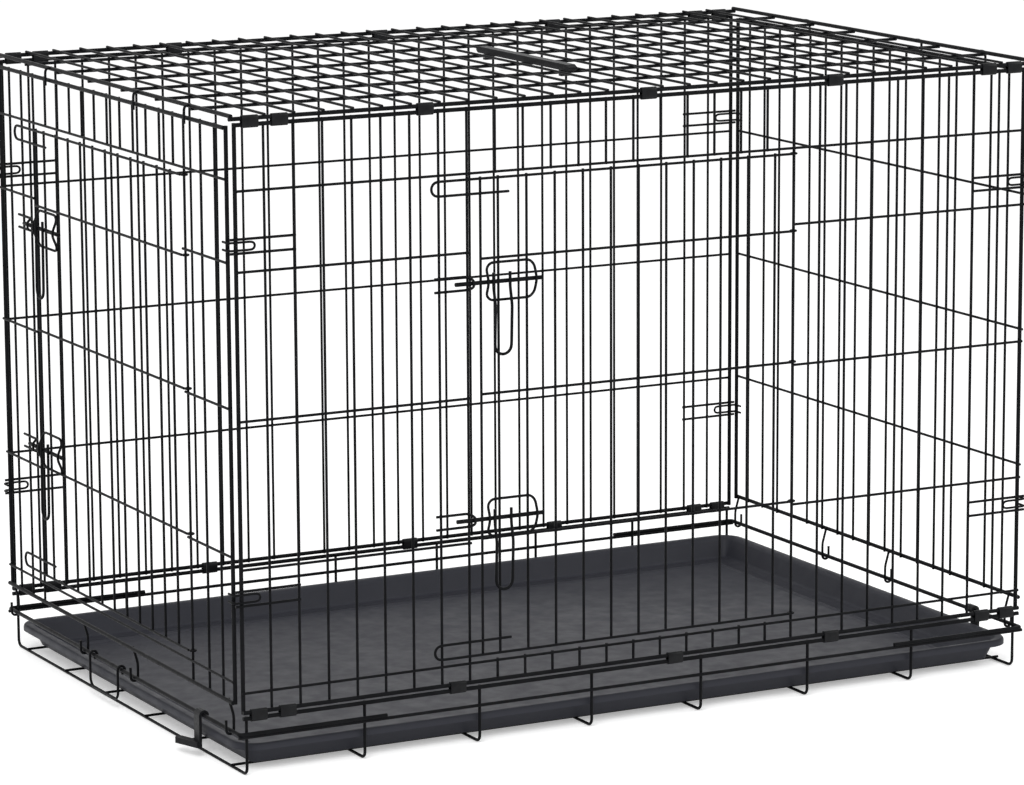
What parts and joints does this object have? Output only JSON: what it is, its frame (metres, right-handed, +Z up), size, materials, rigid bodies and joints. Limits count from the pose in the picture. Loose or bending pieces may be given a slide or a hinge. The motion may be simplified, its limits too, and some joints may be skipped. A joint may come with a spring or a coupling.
{
  "type": "folding wire dog cage",
  "caption": "Folding wire dog cage with a front door, an end door, slide bolts and a floor tray held by swinging stops.",
  "frame": {"origin": "centre of the footprint on the floor", "axes": "+X along the length away from the end with the door, -Y towards the front door, +Z up"},
  "size_m": [1.109, 0.7193, 0.7663],
  "materials": {
    "coated_wire": "black textured coating",
    "clip_steel": "satin black",
    "tray_plastic": "fine moulded grain",
    "stop_plastic": "smooth matte"
  },
  "bodies": {
    "cage": {"base_frame": "coated_wire", "front_panel": "coated_wire", "back_panel": "coated_wire", "top_panel": "coated_wire", "carry_handle": "stop_plastic", "front_top_clip_1": "clip_steel", "front_top_clip_2": "clip_steel", "front_top_clip_3": "clip_steel", "front_top_clip_4": "clip_steel", "front_top_clip_5": "clip_steel", "front_top_clip_6": "clip_steel", "front_top_clip_7": "clip_steel", "front_bottom_clip_1": "clip_steel", "front_bottom_clip_2": "clip_steel", "front_bottom_clip_3": "clip_steel", "front_bottom_clip_4": "clip_steel", "front_bottom_clip_5": "clip_steel", "front_bottom_clip_6": "clip_steel", "front_bottom_clip_7": "clip_steel", "back_top_clip_1": "clip_steel", "back_top_clip_2": "clip_steel", "back_top_clip_3": "clip_steel", "back_top_clip_4": "clip_steel", "back_top_clip_5": "clip_steel", "back_top_clip_6": "clip_steel", "back_top_clip_7": "clip_steel", "back_bottom_clip_1": "clip_steel", "back_bottom_clip_2": "clip_steel", "back_bottom_clip_3": "clip_steel", "back_bottom_clip_4": "clip_steel", "back_bottom_clip_5": "clip_steel", "back_bottom_clip_6": "clip_steel", "back_bottom_clip_7": "clip_steel"},
    "left_end": {"left_end_panel": "coated_wire"},
    "right_end": {"right_end_panel": "coated_wire"},
    "front_door_leaf": {"front_door": "coated_wire"},
    "left_door_leaf": {"left_door": "coated_wire"},
    "front_upper_slider": {"front_upper_bolt": "coated_wire"},
    "front_lower_slider": {"front_lower_bolt": "coated_wire"},
    "left_upper_slider": {"left_upper_bolt": "coated_wire"},
    "left_lower_slider": {"left_lower_bolt": "coated_wire"},
    "tray_pan": {"tray": "tray_plastic"},
    "left_stop": {"left_tray_stop": "stop_plastic"},
    "right_stop": {"right_tray_stop": "stop_plastic"},
    "bail": {"tray_bail": "coated_wire"}
  },
  "joints": [
    {"name": "left_end_fold", "type": "hinge", "parent": "cage", "child": "left_end", "pos_m": [-0.533, 0, 0.05], "axis": [0, 1, 0], "range_deg": [0, 88]},
    {"name": "right_end_fold", "type": "hinge", "parent": "cage", "child": "right_end", "pos_m": [0.533, 0, 0.05], "axis": [0, 1, 0], "range_deg": [-85, 0]},
    {"name": "front_door_swing", "type": "hinge", "parent": "cage", "child": "front_door_leaf", "pos_m": [0.2002, -0.35, 0], "axis": [0, 0, 1], "range_deg": [0, 160]},
    {"name": "left_door_swing", "type": "hinge", "parent": "left_end", "child": "left_door_leaf", "pos_m": [-0.533, -0.2241, 0], "axis": [0, 0, -1], "range_deg": [-160, 0]},
    {"name": "front_upper_bolt_slide", "type": "slide", "parent": "front_door_leaf", "child": "front_upper_slider", "axis": [1, 0, 0], "range_m": [0, 0.03]},
    {"name": "front_lower_bolt_slide", "type": "slide", "parent": "front_door_leaf", "child": "front_lower_slider", "axis": [1, 0, 0], "range_m": [0, 0.03]},
    {"name": "left_upper_bolt_slide", "type": "slide", "parent": "left_door_leaf", "child": "left_upper_slider", "axis": [0, -1, 0], "range_m": [0, 0.03]},
    {"name": "left_lower_bolt_slide", "type": "slide", "parent": "left_door_leaf", "child": "left_lower_slider", "axis": [0, -1, 0], "range_m": [0, 0.03]},
    {"name": "tray_slide", "type": "slide", "parent": "cage", "child": "tray_pan", "axis": [-1, 0, 0], "range_m": [0, 0.007]},
    {"name": "left_stop_swing", "type": "hinge", "parent": "cage", "child": "left_stop", "pos_m": [-0.533, -0.245, 0.05], "axis": [0, 1, 0], "range_deg": [0, 80]},
    {"name": "right_stop_swing", "type": "hinge", "parent": "cage", "child": "right_stop", "pos_m": [0.533, -0.245, 0.05], "axis": [0, 1, 0], "range_deg": [-80, 0]},
    {"name": "bail_swing", "type": "hinge", "parent": "cage", "child": "bail", "pos_m": [-0.533, 0.035, 0.05], "axis": [0, 1, 0], "range_deg": [0, 80]}
  ]
}
